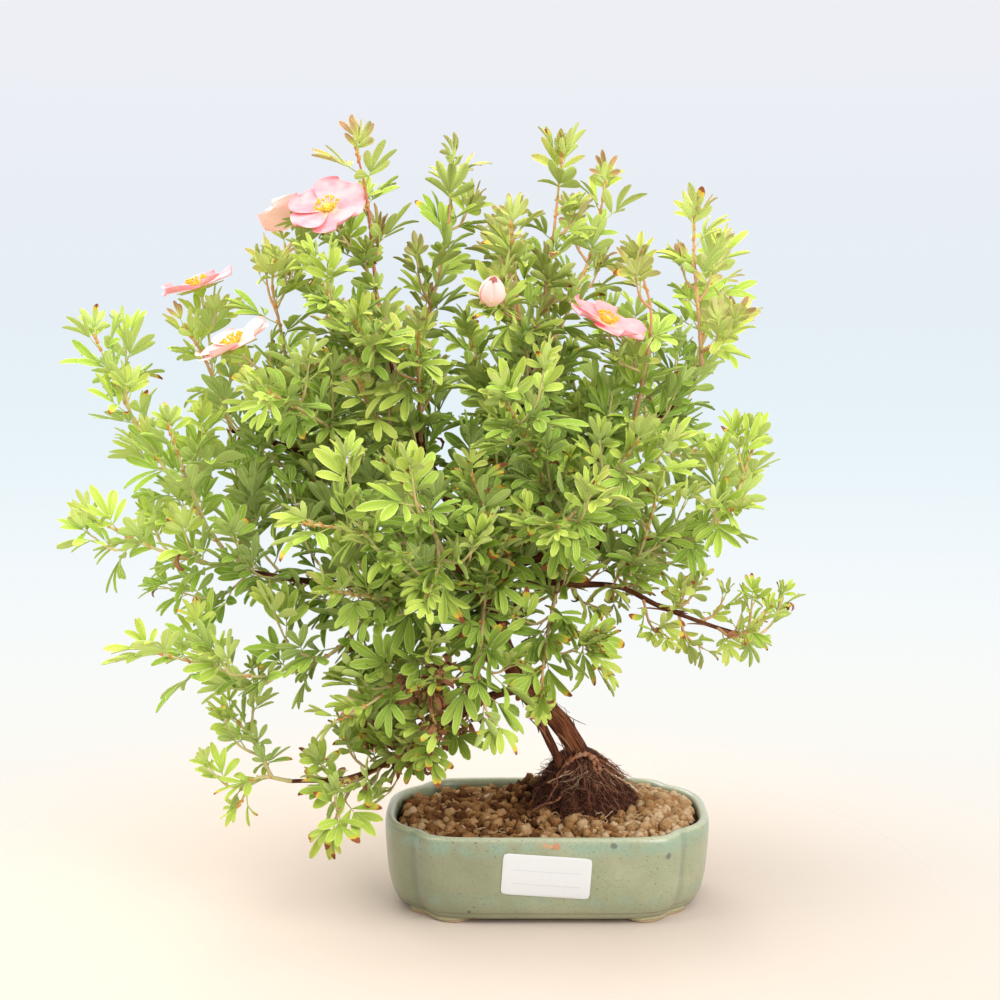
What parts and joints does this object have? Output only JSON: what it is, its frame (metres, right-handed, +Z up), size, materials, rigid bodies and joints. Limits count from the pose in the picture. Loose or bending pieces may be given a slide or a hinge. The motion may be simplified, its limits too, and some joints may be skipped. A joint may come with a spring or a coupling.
{
  "type": "shrubby cinquefoil bonsai in a glazed pot",
  "caption": "Small flowering shrub trained as a bonsai, on a cone of exposed roots in a low oval glazed pot with granular soil.",
  "frame": {"origin": "on the surface that the pot's feet stand on, under the middle of the whole plant", "axes": "+Z up, +X along the pot's long side to the viewer's right, +Y to the back"},
  "size_m": [0.345, 0.2352, 0.3705],
  "materials": {
    "glaze": "satin speckled sage green glaze over tan clay",
    "net": "moulded plastic net",
    "granules": "rough baked clay granules",
    "roots": "matted fibrous roots",
    "bark": "shredding reddish-brown bark",
    "foliage": "matt leaves and green stems",
    "petals": "thin pink petals",
    "stamens": "yellow stamens",
    "paper": "smooth white paper"
  },
  "bodies": {
    "root": {"pot": "glaze", "drain_net_left": "net", "drain_net_right": "net", "soil": "granules", "root_mound": "roots", "trunk": "bark", "label": "paper", "bloom_a_petals": "petals", "bloom_a_middle": "stamens", "bloom_b_petals": "petals", "bloom_b_middle": "stamens", "bloom_c_petals": "petals", "bloom_c_middle": "stamens", "bloom_d_petals": "petals", "bloom_d_middle": "stamens", "bloom_e_petals": "petals", "bloom_e_middle": "stamens", "bloom_f_petals": "petals", "bloom_f_middle": "stamens", "bud": "petals", "spray_crown_a": "foliage", "spray_crown_b": "foliage", "spray_crown_c": "foliage", "spray_crown_d": "foliage", "spray_crown_e": "foliage", "spray_crown_f": "foliage", "spray_crown_g": "foliage", "spray_crown_back": "foliage", "spray_right_a": "foliage", "spray_right_b": "foliage", "spray_right_c": "foliage", "spray_right_d": "foliage", "spray_left_a": "foliage", "spray_left_b": "foliage", "spray_left_c": "foliage", "spray_left_d": "foliage", "spray_left_e": "foliage", "spray_low_left_a": "foliage", "spray_low_left_b": "foliage", "spray_low_left_c": "foliage", "spray_low_left_d": "foliage", "spray_front_a": "foliage", "spray_front_b": "foliage", "spray_front_c": "foliage", "spray_front_d": "foliage", "spray_front_e": "foliage", "spray_front_f": "foliage", "spray_front_g": "foliage", "spray_front_h": "foliage", "spray_front_i": "foliage", "spray_front_j": "foliage", "spray_back_a": "foliage", "spray_back_b": "foliage", "spray_back_c": "foliage", "spray_back_d": "foliage", "spray_back_e": "foliage", "spray_back_f": "foliage", "spray_back_g": "foliage", "spray_inner_left": "foliage", "spray_inner_back": "foliage"}
  },
  "joints": []
}
